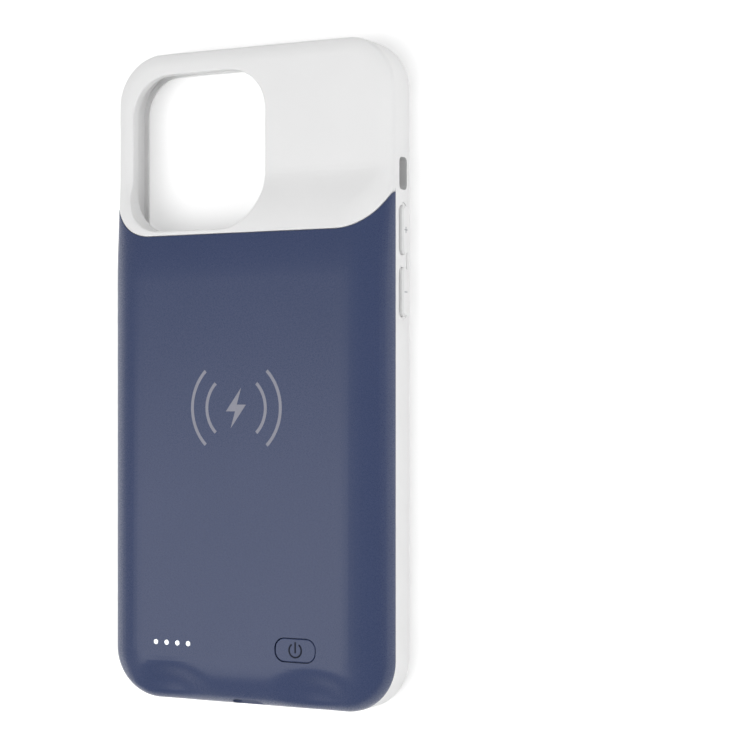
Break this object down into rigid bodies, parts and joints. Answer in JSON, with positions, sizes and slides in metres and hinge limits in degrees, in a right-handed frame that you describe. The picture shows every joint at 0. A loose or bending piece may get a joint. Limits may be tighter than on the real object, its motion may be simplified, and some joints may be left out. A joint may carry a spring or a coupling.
{
  "type": "phone battery charging case",
  "caption": "Two-tone phone case with a rounded battery hump, camera window, plug in its pocket, press button, charge lights and side keys.",
  "frame": {"origin": "middle of the front rim's plane, on which the case lies face down", "axes": "+X towards the volume keys' side, +Y towards the camera end, +Z towards the back"},
  "size_m": [0.0834, 0.168, 0.017],
  "materials": {
    "soft_white": "satin soft-touch white elastomer",
    "soft_blue": "soft-touch matt dark blue",
    "button_blue": "soft-touch matt dark blue",
    "switch_black": "moulded black",
    "key_white": "satin white",
    "clear_guide": "clear moulded, lit white",
    "light_chip": "light chip",
    "tray_grey": "moulded dark grey",
    "cell_foil": "laminated foil pouch",
    "adhesive_film": "acrylic film",
    "board_green": "solder mask",
    "nickel": "nickel strip",
    "screw_steel": "zinc plated",
    "chip_black": "epoxy moulding",
    "ferrite_grey": "sintered ferrite",
    "capacitor_tan": "ceramic chip",
    "coil_copper": "lacquered copper wire",
    "socket_steel": "stamped steel",
    "plug_steel": "machined steel",
    "contact_gold": "gold plated",
    "flex_amber": "polyimide film"
  },
  "bodies": {
    "case": {"bumper_frame": "soft_white", "battery_cover": "soft_blue", "power_switch": "switch_black", "light_guide": "clear_guide", "status_lights": "light_chip", "inner_tray": "tray_grey", "battery_cell": "cell_foil", "cell_adhesive": "adhesive_film", "protection_board": "board_green", "cell_tabs": "nickel", "cell_leads": "nickel", "main_board": "board_green", "board_screws": "screw_steel", "control_chip": "chip_black", "power_inductor": "ferrite_grey", "board_capacitors": "capacitor_tan", "charge_coil": "coil_copper", "coil_ferrite": "ferrite_grey", "coil_leads": "coil_copper", "charge_socket": "socket_steel", "socket_tongue": "chip_black", "phone_plug": "plug_steel", "plug_contacts": "contact_gold", "plug_holder": "tray_grey", "plug_board": "board_green", "plug_flex": "flex_amber"},
    "back_button": {"power_button": "button_blue", "switch_plunger": "switch_black"},
    "volume_up": {"volume_up_key": "key_white"},
    "volume_down": {"volume_down_key": "key_white"},
    "side_button": {"side_key": "key_white"}
  },
  "joints": [
    {"name": "power_button_press", "type": "slide", "parent": "case", "child": "back_button", "axis": [0, 0, -1], "range_m": [0, 0.00035], "stiffness_N_per_m": 2000},
    {"name": "volume_up_press", "type": "slide", "parent": "case", "child": "volume_up", "axis": [-1, 0, 0], "range_m": [0, 0.0004], "stiffness_N_per_m": 2000},
    {"name": "volume_down_press", "type": "slide", "parent": "case", "child": "volume_down", "axis": [-1, 0, 0], "range_m": [0, 0.0004], "stiffness_N_per_m": 2000},
    {"name": "side_key_press", "type": "slide", "parent": "case", "child": "side_button", "axis": [1, 0, 0], "range_m": [0, 0.0004], "stiffness_N_per_m": 2000}
  ]
}
